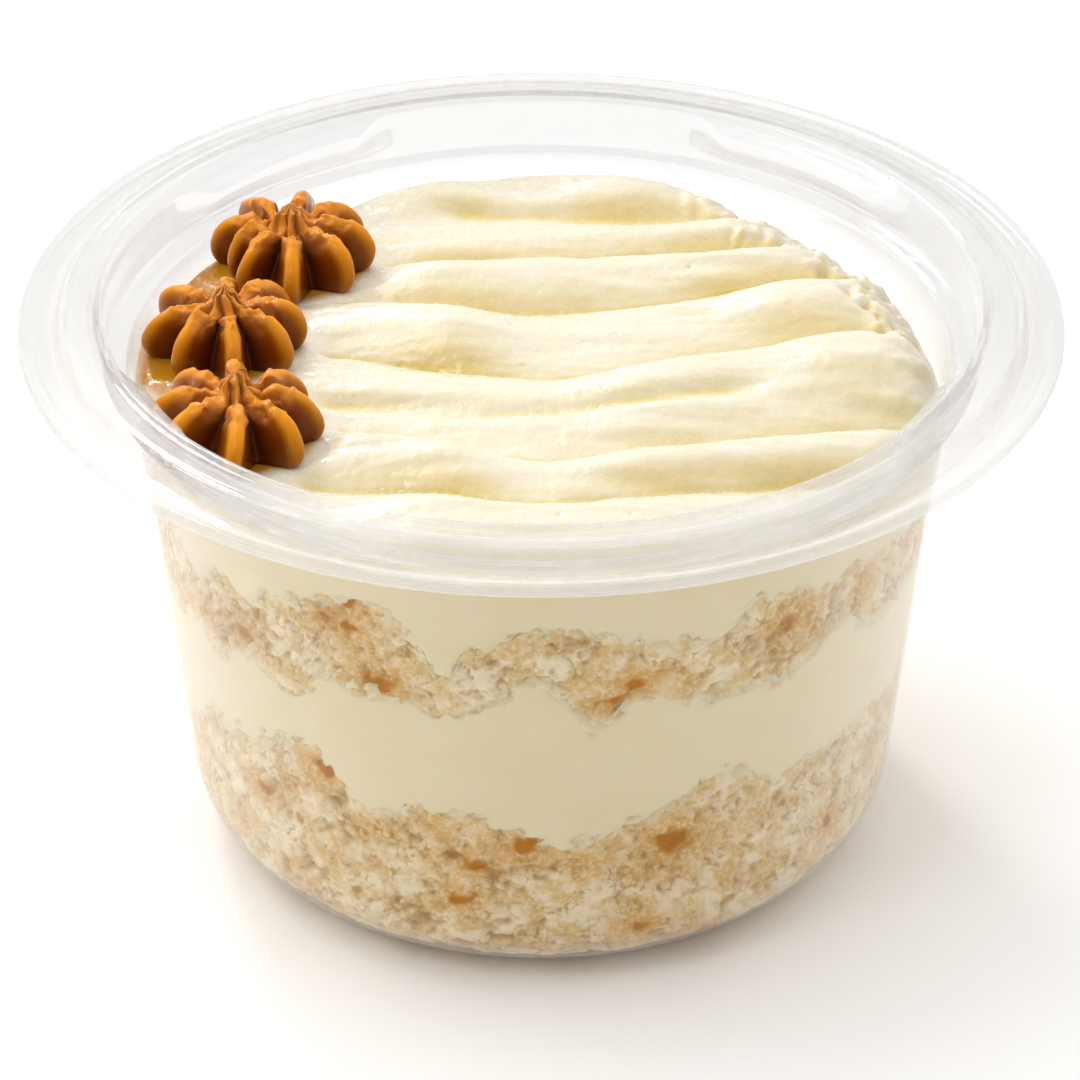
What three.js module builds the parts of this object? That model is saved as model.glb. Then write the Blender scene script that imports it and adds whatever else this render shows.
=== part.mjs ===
// A single-serving layered tres leches cake in a clear plastic cup, after a photograph.
//
// From the bottom up the cup holds a lower sponge, a band of cream, an upper sponge and a thick
// top cream that was spread in ridges from left to right. Three piped caramel rosettes stand on
// the top cream along its left side.
//
// Units are millimetres, +Z is up and the origin is the centre of the cup's base, on the surface
// that the cup stands on. The photograph was taken from -Y, and +X is its right-hand side.
// Azimuths are in degrees, from the front (-Y) towards +X.

import * as THREE from "three";

const { degToRad, radToDeg, smoothstep, lerp } = THREE.MathUtils;

// ---------------------------------------------------------------- driving dimensions

const CUP_HEIGHT = 67.25; // base to the crest of the mouth
const PLASTIC = 0.8; // thickness of the cup's wall
const BASE_WALL_RADIUS = 40.4; // the outer wall's line carried down to the base plane
const WALL_FLARE = 0.1017; // growth of the wall's radius for each millimetre of height
const CORNER_RADIUS = 9.84; // rounding between the base and the wall
const PUSH_UP = { radius: 26, rim: 27.4, depth: 0.8 }; // raised middle of the base
const SHOULDER_HEIGHT = 60.6; // where the wall steps out to the mouth section
const MOUTH_WALL_RADIUS = 48.6; // inner wall between the shoulder and the mouth
// The flange round the mouth, as [radius, depth below the crest]: its top from the lip's foot
// inwards to the mouth, and its underside from the mouth's wall outwards.
const FLANGE_TOP = [
  [58.5, 3.33], [58.5, 2.25], [58.2, 1.95], [57.4, 1.95], [56.2, 2.75], [54.9, 2.6],
  [53.5, 0.6], [52.8, 0.3], [50.4, 0.3], [49.6, 0], [49.1, 0.1],
];
const FLANGE_UNDERSIDE = [
  [49.4, 3], [49.4, 1.8], [50.4, 1.1], [52.8, 1.1], [54.2, 3.3], [56.7, 3.5], [57.6, 3.33],
];
const CORNER_STEPS = 5;
const CUP_SEGMENTS = 56;

const LUG_INSET = 2.7; // how far a stacking lug stands in from the mouth section's wall
const LUG_DEPTH = 2.3; // from the crest down to where a lug stands in fully
const LUG_EDGE = 3; // half the width, in degrees, over which a lug's side slopes
const LUGS = [
  // [azimuth, half width] of each stacking lug
  [-62, 9],
  [62, 9],
  [-139, 16],
  [139, 16],
];

const FOOD_GAP = 0.3; // clearance between the food and the cup, and between layers
const FOOD_SEGMENTS = 72;

// Height of each layer's top where it meets the wall: a level, the rises and dips along the front
// that shows, each [azimuth, rise, half width], and the seed of those at the back.
const LOWER_SPONGE_TOP = {
  level: 25.2,
  crags: [[-70, -4, 7], [-38, 4.2, 9], [-26, -3, 4.5], [3, -3.6, 9], [28, 3.4, 6], [41, -1.2, 6]],
  seed: 5,
};
const CREAM_BAND_TOP = {
  level: 38.5,
  crags: [
    [-70, -4, 6], [-54, -3.6, 5], [-39, -3.3, 4], [-27, 1.4, 10],
    [-1, 5.2, 6], [9, -4, 3.2], [14, 2.8, 7], [48, 3.6, 5],
  ],
  seed: 11,
};
const UPPER_SPONGE_TOP = {
  level: 48.4,
  crags: [
    [-58, -4.4, 3.5], [-46, -2, 4], [-26, 4.4, 9], [-14, -5, 3],
    [3, 3.8, 8.5], [25, -2.4, 4], [32, 3, 9], [49, 2, 3.5],
  ],
  seed: 17,
};
const BACK_CRAGS = { from: 80, to: 280, step: 20, rise: [1.4, 3], half: [8, 11] };
const LAYER_RINGS = 3; // rings of faces across a surface between two layers
const SPONGE_SIDE_ROWS = 6; // rows of faces up the lower sponge's rounded side

const CREAM_VALLEY = 56.3; // height of the creases between the ridges of the top cream
const CREAM_EDGE = 55.9; // height where the top cream meets the wall
const CREAM_SLUMP = { azimuth: 118, half: 34, drop: 2.6 }; // where it falls short of the wall
const CREAM_RINGS = 17;
const CREASE_REACH = 28; // distance from the middle at which a crease straightens out
// Each crease of the top cream from the front to the back: y at the middle, its slope and its bow,
// and the height of the ridge behind it, at the middle and more towards the right.
const CREASES = [
  { mid: -52, slope: 0, bow: 0.009, ridge: 2.2, right: 0 },
  { mid: -28, slope: 0, bow: 0.007, ridge: 2.7, right: 0.2 },
  { mid: -19.4, slope: -0.08, bow: 0.0115, ridge: 3.1, right: 0.5 },
  { mid: -1.7, slope: -0.02, bow: 0.0105, ridge: 3.1, right: 0.6 },
  { mid: 12.7, slope: 0.06, bow: 0.0085, ridge: 2.8, right: 0.2 },
  { mid: 25.6, slope: 0.12, bow: 0.003, ridge: 2.2, right: 0 },
  { mid: 33.6, slope: 0.13, bow: 0, ridge: 2.4, right: 0 },
  { mid: 52, slope: 0, bow: 0, ridge: 0, right: 0 },
];
const RIDGE_CREST = 0.36; // where a ridge is highest, as a share of the way from its far crease
const SHALLOW_GROOVES = [
  // fainter strokes along the top of a ridge: y at the middle, slope, bow, depth and span in x
  { mid: -8.8, slope: 0, bow: 0.0087, depth: 1, from: -30, to: 28 },
  { mid: 8.4, slope: 0.02, bow: 0.002, depth: 0.8, from: 0, to: 27 },
];
const GROOVE_HALF_WIDTH = 1.5;
const GROOVE_FADE = 8; // length over which a stroke fades in and out

const ROSETTES = [
  // each piped rosette: centre, radius, height, and the azimuth of its first lobe
  { at: [-29.2, 22.2], radius: 10, height: 8.5, turn: 8 },
  { at: [-35.6, 3], radius: 9.4, height: 8.3, turn: 20 },
  { at: [-33.2, -16.8], radius: 9.8, height: 8.5, turn: -3 },
];
const ROSETTE_LOBES = 8;
const LOBE_FACES = 6;
const ROSETTE_PAD = 58; // height of the cream under a rosette
const ROSETTE_WALL_LIMIT = 45.3; // rosettes are squeezed to stay inside this radius
const ROSETTE_TWIST = 16; // degrees that a lobe turns from its foot to its top
// A rosette's outline at the middle of a lobe, from foot to tip, as shares of radius and height,
// and how deep the grooves between lobes are there.
const ROSETTE_OUTLINE = [
  [0.8, 0, 0.26],
  [0.95, 0.12, 0.44],
  [1, 0.32, 0.52],
  [0.92, 0.52, 0.54],
  [0.74, 0.68, 0.52],
  [0.5, 0.73, 0.42],
  [0.32, 0.71, 0.3],
  [0.2, 0.78, 0.16],
  [0.09, 0.92, 0],
];

const COLOURS = {
  plastic: 0xeef0f0,
  sponge: 0xe3cda6,
  cream: 0xf3e8bd,
  caramel: 0xb2650c,
};

// ---------------------------------------------------------------- shared helpers

// A lathe about +Z from [radius, height] points, whose vertices are then moved by place(x, y, z,
// row), which gives back [x, y, z]. Row is the point's number in the profile.
function lathe(profile, segments, place) {
  const geometry = new THREE.LatheGeometry(
    profile.map(([radius, height]) => new THREE.Vector2(radius, height)),
    segments,
  );
  geometry.rotateX(Math.PI / 2);
  const position = geometry.getAttribute("position");
  const rows = profile.length;
  for (let i = 0; place && i < position.count; i++) {
    const seam = i >= segments * rows ? i - segments * rows : i; // the last column repeats the first
    if (seam !== i) position.setXYZ(i, position.getX(seam), position.getY(seam), position.getZ(seam));
    else position.setXYZ(i, ...place(position.getX(i), position.getY(i), position.getZ(i), i % rows));
  }
  return geometry;
}

function mesh(name, geometry, material) {
  const made = new THREE.Mesh(geometry, material);
  made.name = name;
  return made;
}

function azimuthOf(x, y) {
  return radToDeg(Math.atan2(x, -y));
}

function angleBetween(a, b) {
  return Math.abs(((a - b + 540) % 360) - 180);
}

// ---------------------------------------------------------------- the cup

function outerWallRadius(z) {
  return BASE_WALL_RADIUS + WALL_FLARE * z;
}

// The rounded corner between base and wall, set in by the given thickness, from the base up.
function corner(inset, steps) {
  const tilt = Math.atan(WALL_FLARE);
  const centreZ = CORNER_RADIUS;
  const centreR = outerWallRadius(centreZ) - CORNER_RADIUS / Math.cos(tilt);
  const radius = CORNER_RADIUS - inset;
  return Array.from({ length: steps + 1 }, (_, i) => {
    const a = lerp(-Math.PI / 2, -tilt, i / steps);
    return [centreR + radius * Math.cos(a), centreZ + radius * Math.sin(a)];
  });
}

function cupProfile() {
  const belowCrest = ([radius, depth]) => [radius, CUP_HEIGHT - depth];
  return [
    [0, PUSH_UP.depth],
    [PUSH_UP.radius, PUSH_UP.depth],
    [PUSH_UP.rim, 0],
    ...corner(0, CORNER_STEPS),
    [outerWallRadius(SHOULDER_HEIGHT - PLASTIC), SHOULDER_HEIGHT - PLASTIC],
    [MOUTH_WALL_RADIUS + PLASTIC - 0.5, SHOULDER_HEIGHT - 0.2],
    [MOUTH_WALL_RADIUS + PLASTIC, SHOULDER_HEIGHT + 0.6],
    ...FLANGE_UNDERSIDE.map(belowCrest),
    ...FLANGE_TOP.map(belowCrest),
    [MOUTH_WALL_RADIUS, CUP_HEIGHT - 1.25],
    [MOUTH_WALL_RADIUS, CUP_HEIGHT - LUG_DEPTH],
    [MOUTH_WALL_RADIUS, SHOULDER_HEIGHT + 1],
    [MOUTH_WALL_RADIUS - 0.4, SHOULDER_HEIGHT + 0.6],
    [outerWallRadius(SHOULDER_HEIGHT) - PLASTIC, SHOULDER_HEIGHT],
    ...corner(PLASTIC, CORNER_STEPS).reverse(),
    [PUSH_UP.rim, PLASTIC + 0.05],
    [PUSH_UP.radius, PLASTIC + PUSH_UP.depth],
    [0, PLASTIC + PUSH_UP.depth],
  ];
}

// How far the stacking lugs stand in at an azimuth, from 0 to 1.
function lugShare(azimuth) {
  return Math.max(
    ...LUGS.map(([centre, half]) => {
      return 1 - smoothstep(angleBetween(azimuth, centre), half - LUG_EDGE, half + LUG_EDGE);
    }),
  );
}

function makeCup(material) {
  const lowest = SHOULDER_HEIGHT + 0.5;
  const highest = CUP_HEIGHT - LUG_DEPTH + 0.3;
  const geometry = lathe(cupProfile(), CUP_SEGMENTS, (x, y, z) => {
    const radius = Math.hypot(x, y);
    const inMouthWall = z > lowest && z < highest && radius < MOUTH_WALL_RADIUS + 1;
    const inset = inMouthWall ? LUG_INSET * lugShare(azimuthOf(x, y)) : 0;
    const share = (radius - inset) / (radius || 1);
    return [x * share, y * share, z];
  });
  return mesh("cup", geometry, material);
}

// ---------------------------------------------------------------- the layers

// The radius that food fills at a height: the cup's inner wall or corner, less the gap.
function foodRadius(z) {
  const arc = corner(PLASTIC + FOOD_GAP, 24);
  const [topR, topZ] = arc[arc.length - 1];
  if (z >= topZ) return topR + WALL_FLARE * (z - topZ);
  const above = arc.findIndex(([, height]) => height >= z);
  const [r1, z1] = arc[Math.max(above, 1)];
  const [r0, z0] = arc[Math.max(above, 1) - 1];
  return lerp(r0, r1, Math.max(0, z - z0) / (z1 - z0));
}

// A repeatable draw of numbers from 0 to 1.
function makeRandom(seed) {
  let state = seed;
  return () => {
    state = (state * 1103515245 + 12345) % 2147483648;
    return state / 2147483648;
  };
}

// The rises and dips of a layer's top round the back of the cup, taking turns.
function backCrags(seed) {
  const random = makeRandom(seed);
  const { from, to, step, rise, half } = BACK_CRAGS;
  return Array.from({ length: Math.floor((to - from) / step) + 1 }, (_, i) => [
    from + step * (i + 0.5 * (random() - 0.5)),
    lerp(...rise, random()) * (i % 2 ? 1 : -1),
    lerp(...half, random()),
  ]);
}

// A layer's top as a height for x and y: level in the middle of the cup and wavy at the wall.
function layerTop({ level, crags, seed }) {
  const waves = [...crags, ...backCrags(seed)];
  return (x, y) => {
    const azimuth = azimuthOf(x, y);
    const wave = waves.reduce(
      (sum, [centre, rise, half]) => sum + rise * Math.exp(-((angleBetween(azimuth, centre) / half) ** 2)),
      0,
    );
    const outwards = Math.min(1, Math.hypot(x, y) / foodRadius(level));
    return level + wave * outwards ** 1.5;
  };
}

// A layer between two surfaces, each given as a height for x and y, filling the cup to its wall.
function makeLayer(name, bottom, top, faces, material) {
  const { topRings = LAYER_RINGS, bottomRings = LAYER_RINGS, sideRows = 2 } = faces;
  const profile = [];
  for (let i = 0; i <= bottomRings; i++) profile.push([i / bottomRings, 0]);
  for (let i = 1; i < sideRows; i++) profile.push([1, i / sideRows]);
  for (let i = topRings; i >= 0; i--) profile.push([i / topRings, 1]);
  const geometry = lathe(profile, FOOD_SEGMENTS, (x, y, rise) => {
    const reach = Math.hypot(x, y); // 0 on the axis, 1 at the wall
    let radius = foodRadius((bottom(0, 0) + top(0, 0)) / 2);
    let z = 0;
    for (let pass = 0; pass < 4; pass++) {
      z = lerp(bottom(x * radius, y * radius), top(x * radius, y * radius), rise);
      if (reach > 0.99) radius = foodRadius(z);
    }
    return [x * radius, y * radius, z];
  });
  return mesh(name, geometry, material);
}

// ---------------------------------------------------------------- the ridged top cream

function creaseY({ mid, slope, bow }, x) {
  const along = CREASE_REACH * Math.tanh(x / CREASE_REACH);
  return mid + slope * along + bow * along ** 2;
}

// A ridge's cross-section, from its far crease at 0 to its near crease at 1.
function ridgeShape(t) {
  if (t < RIDGE_CREST) return Math.sin((Math.PI / 2) * (t / RIDGE_CREST)) ** 0.8;
  return Math.cos((Math.PI / 2) * ((t - RIDGE_CREST) / (1 - RIDGE_CREST))) ** 0.9;
}

function ridgeHeight(x, y) {
  const far = CREASES.findIndex((crease) => creaseY(crease, x) > y);
  if (far < 1) return 0;
  const near = CREASES[far - 1];
  const nearY = creaseY(near, x);
  const farY = creaseY(CREASES[far], x);
  const fadeLeft = 0.5 + 0.5 * smoothstep(x, -30, -6);
  const height = near.ridge * fadeLeft + near.right * smoothstep(x, 6, 30);
  return height * ridgeShape((farY - y) / (farY - nearY));
}

function grooveDepth(x, y) {
  return SHALLOW_GROOVES.reduce((sum, groove) => {
    const across = (y - creaseY(groove, x)) / GROOVE_HALF_WIDTH;
    const started = smoothstep(x, groove.from, groove.from + GROOVE_FADE);
    const ended = smoothstep(x, groove.to - GROOVE_FADE, groove.to);
    return sum + groove.depth * started * (1 - ended) * Math.exp(-(across ** 2));
  }, 0);
}

// How far the cream slumps short of the wall at an azimuth, from 0 to 1.
function slumpShare(azimuth) {
  return Math.exp(-((angleBetween(azimuth, CREAM_SLUMP.azimuth) / CREAM_SLUMP.half) ** 4));
}

function creamTop(x, y) {
  const radius = Math.hypot(x, y);
  const wall = foodRadius(CREAM_EDGE);
  let z = CREAM_VALLEY + ridgeHeight(x, y) - grooveDepth(x, y);
  for (const { at, radius: reach } of ROSETTES) {
    const away = Math.hypot(x - at[0], y - at[1]);
    z = lerp(ROSETTE_PAD, z, smoothstep(away, reach - 1, reach + 2.5));
  }
  const slump = slumpShare(azimuthOf(x, y));
  return lerp(z, CREAM_EDGE - CREAM_SLUMP.drop * slump, smoothstep(radius, wall - 3.2 - slump, wall));
}

// ---------------------------------------------------------------- the rosettes

// The depth of the grooves between lobes is a share of the radius. Lobes are round and their
// grooves are sharp, and each lobe leans round as it rises.
function makeRosette(name, { at, radius, height, turn }, material) {
  const profile = [[0, 0], ...ROSETTE_OUTLINE, [0, 1]];
  const foot = ROSETTE_PAD + FOOD_GAP;
  const geometry = lathe(profile, ROSETTE_LOBES * LOBE_FACES, (x, y, rise, row) => {
    const groove = profile[row][2] ?? 0;
    const around = Math.atan2(x, -y);
    const lobe = Math.abs(Math.cos((ROSETTE_LOBES / 2) * around)) ** 0.65;
    const share = Math.hypot(x, y) * (1 - groove * (1 - lobe));
    const turned = around + degToRad(turn + ROSETTE_TWIST * rise);
    const z = foot + height * rise * (1 - 0.4 * groove * (1 - lobe));
    const px = at[0] + radius * share * Math.sin(turned);
    const py = at[1] - radius * share * Math.cos(turned);
    const out = Math.hypot(px, py);
    const squeeze = out > ROSETTE_WALL_LIMIT ? ROSETTE_WALL_LIMIT / out : 1;
    return [px * squeeze, py * squeeze, z];
  });
  return mesh(name, geometry, material);
}

// ---------------------------------------------------------------- materials and assembly

const plastic = new THREE.MeshStandardMaterial({
  color: COLOURS.plastic,
  roughness: 0.08,
  metalness: 0,
  transparent: true,
  opacity: 0.35,
});
const sponge = new THREE.MeshStandardMaterial({ color: COLOURS.sponge, roughness: 0.85, metalness: 0 });
const cream = new THREE.MeshStandardMaterial({ color: COLOURS.cream, roughness: 0.4, metalness: 0 });
const caramel = new THREE.MeshStandardMaterial({ color: COLOURS.caramel, roughness: 0.25, metalness: 0 });

const floor = () => PLASTIC + PUSH_UP.depth + FOOD_GAP;
const lowerSpongeTop = layerTop(LOWER_SPONGE_TOP);
const creamBandTop = layerTop(CREAM_BAND_TOP);
const upperSpongeTop = layerTop(UPPER_SPONGE_TOP);
const above = (surface) => (x, y) => surface(x, y) + FOOD_GAP;

const cake = new THREE.Group();
cake.name = "tres_leches_cup";
cake.add(makeCup(plastic));
cake.add(
  makeLayer("sponge_lower", floor, lowerSpongeTop, { bottomRings: 1, sideRows: SPONGE_SIDE_ROWS }, sponge),
  makeLayer("cream_band", above(lowerSpongeTop), creamBandTop, {}, cream),
  makeLayer("sponge_upper", above(creamBandTop), upperSpongeTop, {}, sponge),
  makeLayer("cream_top", above(upperSpongeTop), creamTop, { topRings: CREAM_RINGS }, cream),
);
ROSETTES.forEach((rosette, i) => cake.add(makeRosette(`rosette_${i + 1}`, rosette, caramel)));

export default cake;
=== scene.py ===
# The looks of a layered tres leches cake in a clear cup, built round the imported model.
#
# Every shape is worked out in millimetres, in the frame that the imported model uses: +Z up, the
# origin under the middle of the cup, the photographed side on -Y. Azimuths are in degrees, from
# the front (-Y) towards +X.

import math

import bpy
import numpy as np
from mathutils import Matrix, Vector


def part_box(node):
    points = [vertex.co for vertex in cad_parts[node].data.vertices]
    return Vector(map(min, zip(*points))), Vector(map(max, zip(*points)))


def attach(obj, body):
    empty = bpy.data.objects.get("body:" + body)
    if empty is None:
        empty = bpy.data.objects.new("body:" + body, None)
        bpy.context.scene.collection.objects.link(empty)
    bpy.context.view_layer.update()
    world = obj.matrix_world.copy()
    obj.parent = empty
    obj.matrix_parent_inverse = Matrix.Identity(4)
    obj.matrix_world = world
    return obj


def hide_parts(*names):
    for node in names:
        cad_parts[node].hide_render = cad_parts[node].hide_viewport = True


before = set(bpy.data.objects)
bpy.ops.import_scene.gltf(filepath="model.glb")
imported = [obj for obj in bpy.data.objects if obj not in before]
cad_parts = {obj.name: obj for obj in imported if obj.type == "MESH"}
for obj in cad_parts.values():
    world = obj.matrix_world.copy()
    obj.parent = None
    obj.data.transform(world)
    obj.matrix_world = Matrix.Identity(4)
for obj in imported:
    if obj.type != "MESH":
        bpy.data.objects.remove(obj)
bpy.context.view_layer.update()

MM = 0.001

# ------------------------------------------------------------------ sizes shared with the model

CUP_LOW, CUP_HIGH = (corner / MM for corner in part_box("cup"))
CUP_HEIGHT = CUP_HIGH.z
PLASTIC = 0.8  # thickness of the cup's wall
BASE_WALL_RADIUS = 40.4  # the outer wall's line carried down to the base plane
WALL_FLARE = 0.1017  # growth of the wall's radius for each millimetre of height
CORNER_RADIUS = 9.84
PUSH_UP_RADIUS, PUSH_UP_RIM, PUSH_UP_DEPTH = 26, 27.4, 0.8  # raised middle of the base
SHOULDER_HEIGHT = 60.6
MOUTH_WALL_RADIUS = 48.6
FLANGE_TOP = (  # [radius, depth below the crest], from the lip's foot inwards to the mouth
    (58.5, 3.33), (58.5, 2.25), (58.2, 1.95), (57.4, 1.95), (56.2, 2.75), (54.9, 2.6),
    (53.5, 0.6), (52.8, 0.3), (50.4, 0.3), (49.6, 0), (49.1, 0.1),
)
FLANGE_UNDERSIDE = (
    (49.4, 3), (49.4, 1.8), (50.4, 1.1), (52.8, 1.1), (54.2, 3.3), (56.7, 3.5), (57.6, 3.33),
)
LUGS = ((-62, 9), (62, 9), (-139, 16), (139, 16))  # azimuth and half width of the stacking lugs
LUG_INSET = 2.7

# Height of each layer's top at the wall: a level, and its rises and dips, each [azimuth, rise,
# half width].
LOWER_SPONGE_TOP = (25.2, (
    (-70, -4, 7), (-38, 4.2, 9), (-26, -3, 4.5), (3, -3.6, 9), (28, 3.4, 6), (41, -1.2, 6),
), 5)
CREAM_BAND_TOP = (38.5, (
    (-70, -4, 6), (-54, -3.6, 5), (-39, -3.3, 4), (-27, 1.4, 10),
    (-1, 5.2, 6), (9, -3.2, 4), (14, 2.8, 7), (48, 3.6, 5),
), 11)
UPPER_SPONGE_TOP = (48.4, (
    (-58, -4.4, 3.5), (-46, -2, 4), (-26, 4.4, 9), (-14, -5, 3),
    (3, 3.8, 8.5), (25, -2.4, 4), (32, 3, 9), (49, 2, 3.5),
), 17)
BACK_FROM, BACK_TO, BACK_STEP = 80, 280, 20
BACK_RISE, BACK_HALF = (1.4, 3), (8, 11)

CREAM_VALLEY = 56.3
CREAM_EDGE = 55.9
MOUNDS = (  # centre, radius and height of soft lumps in the cream
    ((10, 41), 6.5, 0.7), ((22.3, 37.6), 5.5, 0.9), ((-14, 40), 7, 1.1),
    ((29, 10.5), 7.5, 1.5), ((35, -3), 7, 0.9), ((12, 24), 6, 0.6), ((-6, 4), 7, 0.6),
)
SLUMP_AZIMUTH, SLUMP_HALF, SLUMP_DROP = 118, 36, 3.6
NOTCH_AZIMUTH, NOTCH_HALF, NOTCH_DEPTH = 138, 6, 3.5  # a gap between lumps at the slump's back
CREASE_REACH = 28
CREASES = (  # y at the middle, slope, bow, ridge height behind it, and more towards the right
    (-56, 0, 0.006, 0.9, 0),
    (-42, 0, 0.006, 2.3, -1.5),
    (-28, 0, 0.007, 2.7, 0.2),
    (-19.4, -0.08, 0.0115, 3.0, 1.1),
    (-1.7, -0.02, 0.0105, 3.0, 1.2),
    (12.7, 0.06, 0.0085, 2.8, 0.2),
    (24.1, 0.07, 0.001, 2.4, 0),
    (31.3, 0.12, 0, 2.4, 0),
    (52, 0, 0, 0, 0),
)
RIDGE_CREST = 0.36  # place of a ridge's crest, from the crease behind it to the one before it
CREST_REACH = 5  # how far at most the crest is from the crease behind it
SHALLOW_GROOVES = (  # y at the middle, slope, bow, depth, and span in x
    (-11.3, 0, 0.0087, 1, -30, 28),
    (9.7, 0.02, 0.002, 0.8, 0, 27),
    (36.2, -0.05, 0, 1, -16, 24),
)
GROOVE_HALF_WIDTH, GROOVE_FADE = 1.5, 8
SLOPE_REACH = 1.3  # how far to either side the cream's slope and hollows are measured

ROSETTES = (  # centre, radius, height, and the azimuths of the lobes
    ((-29.2, 22.2), 10.5, 8.5, (2, 46, 86, 127, 170, 216, 261, 291, 317)),
    ((-35.6, 3), 9.7, 8.3, (8, 51, 92, 134, 179, 232, 281, 322)),
    ((-33.2, -16.8), 10.2, 8.5, (-3, 46, 89, 132, 180, 226, 268, 309)),
)
ROSETTE_PAD = 58

# ------------------------------------------------------------------ sizes of the visible pieces

LOWER_SPONGE_SEED, CREAM_BAND_SEED, UPPER_SPONGE_SEED, CREAM_TOP_SEED = 101, 7, 301, 8

COLUMNS = 720  # points round the cup on the food
CUP_COLUMNS = 288
CUP_SPACING = 1.4  # longest stretch between the points of the cup's outline
CORNER_STEPS = 12
SIDE_SPACING = 0.34  # longest stretch between rows of points on a layer's side
LOWER_SIDE_SPACING = 0.38
TOP_SIDE_SPACING = 0.8
FLOOR_SPACING = 3.2
FLOOR_START = 1.5  # radius of the first ring on the cup's floor
FLOOR_GAP = 0.4  # from the last ring on the floor to the first row of the side
CREAM_TOP_ROWS = 116
INTERLOCK = 1.6  # how far past its edge a layer reaches behind what covers it
CAP_STEP = 0.2  # how far from its edge a layer's top and underside leave its side
CAP_INSETS = (3.2, 6)  # how far in from the wall their outer rings are
CAP_RINGS = 3
EDGE_DEPTH = 0.12  # how far behind its neighbour's face a layer goes on past its edge
INTO_WALL = 0.45  # how far food that touches the cup reaches into its wall


# ------------------------------------------------------------------ numbers


def lerp(a, b, t):
    return a + (b - a) * t


def smoothstep(x, low, high):
    t = np.clip((x - low) / (high - low), 0, 1)
    return t * t * (3 - 2 * t)


def azimuth_of(x, y):
    return np.degrees(np.arctan2(x, -y))


def apart(a, b):
    return np.abs((a - b + 540) % 360 - 180)


def lattice(x, y, z, seed):
    """A repeatable number from 0 to 1 for each whole-numbered point."""
    h = (x * 374761393 + y * 668265263 + z * 1442695041 + seed * 144665) & 0xFFFFFFFF
    h = ((h ^ (h >> 13)) * 1274126177) & 0xFFFFFFFF
    return ((h ^ (h >> 16)) & 0xFFFFFF) / 0xFFFFFF


def noise(points, seed):
    """Smooth noise from -1 to 1."""
    cell = np.floor(points).astype(np.int64)
    f = points - cell
    f = f * f * (3 - 2 * f)
    total = 0
    for corner in np.ndindex(2, 2, 2):
        weight = np.prod(np.where(corner, f, 1 - f), axis=-1)
        total = total + weight * lattice(*np.moveaxis(cell + corner, -1, 0), seed)
    return total * 2 - 1


def rough(points, octaves, seed):
    """Noise with finer and fainter noise on top."""
    return sum(noise(points * 2**k, seed + k) / 2**k for k in range(octaves))


def lumps(points, seed):
    """The distance to the nearest of randomly placed points, one to a unit cell, and its tag."""
    base = np.floor(points).astype(np.int64)
    nearest = np.full(points.shape[:-1], 9.0)
    tag = np.zeros(points.shape[:-1])
    for step in np.ndindex(3, 3, 3):
        cell = base + np.array(step) - 1
        parts = np.moveaxis(cell, -1, 0)
        spot = cell + np.stack([lattice(*parts, seed + k) for k in range(3)], -1)
        away = np.linalg.norm(points - spot, axis=-1)
        closer = away < nearest
        nearest = np.where(closer, away, nearest)
        tag = np.where(closer, lattice(*parts, seed + 3), tag)
    return nearest, tag


# ------------------------------------------------------------------ meshes


def new_piece(name, mesh, material, nodes=()):
    mesh.materials.append(material)
    mesh.polygons.foreach_set("use_smooth", np.ones(len(mesh.polygons), bool))
    piece = bpy.data.objects.new(name, mesh)
    bpy.context.scene.collection.objects.link(piece)
    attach(piece, "root")
    if nodes:
        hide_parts(*nodes)
    return piece


def skin(name, rows, values=None):
    """A closed mesh through rows of points that go round the axis. The first and last row are
    points on the axis. values holds a number for each point, by name, for the material."""
    count, around = rows.shape[:2]
    first, last = rows[0].mean(0), rows[-1].mean(0)
    points = np.concatenate([[first], rows[1:-1].reshape(-1, 3), [last]]) * MM
    column = np.arange(around)
    after = (column + 1) % around
    ring = 1 + np.arange(count - 3)[:, None] * around
    above = ring + around
    quads = np.stack([ring + column, ring + after, above + after, above + column], -1)
    end = len(points) - 1
    last_ring = end - around
    foot = np.stack([np.zeros(around, int), 1 + after, 1 + column], -1)
    top = np.stack([np.full(around, end), last_ring + column, last_ring + after], -1)
    mesh = bpy.data.meshes.new(name)
    faces = [*quads.reshape(-1, 4).tolist(), *foot.tolist(), *top.tolist()]
    mesh.from_pydata(points.tolist(), [], faces)
    for label, grid in (values or {}).items():
        flat = np.concatenate([[grid[0].mean()], grid[1:-1].ravel(), [grid[-1].mean()]])
        attribute = mesh.attributes.new(label, "FLOAT", "POINT")
        attribute.data.foreach_set("value", flat.astype(np.float32))
    mesh.validate()
    return mesh


# ------------------------------------------------------------------ the cup


def outer_wall_radius(z):
    return BASE_WALL_RADIUS + WALL_FLARE * z


def base_corner(inset):
    """The rounded corner between base and wall, set in by inset, from the base up."""
    tilt = math.atan(WALL_FLARE)
    centre = outer_wall_radius(CORNER_RADIUS) - CORNER_RADIUS / math.cos(tilt)
    angle = np.linspace(-math.pi / 2, -tilt, CORNER_STEPS)
    radius = CORNER_RADIUS - inset
    return np.stack([centre + radius * np.cos(angle), CORNER_RADIUS + radius * np.sin(angle)], -1)


def soften(outline, reach):
    """Cuts each corner of an outline at up to reach from its point."""
    made = [outline[0]]
    for before, here, after in zip(outline, outline[1:], outline[2:]):
        for other in (before, after):
            away = other - here
            made.append(here + away * min(0.3, reach / np.linalg.norm(away)))
    return np.array([*made, outline[-1]])


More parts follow.
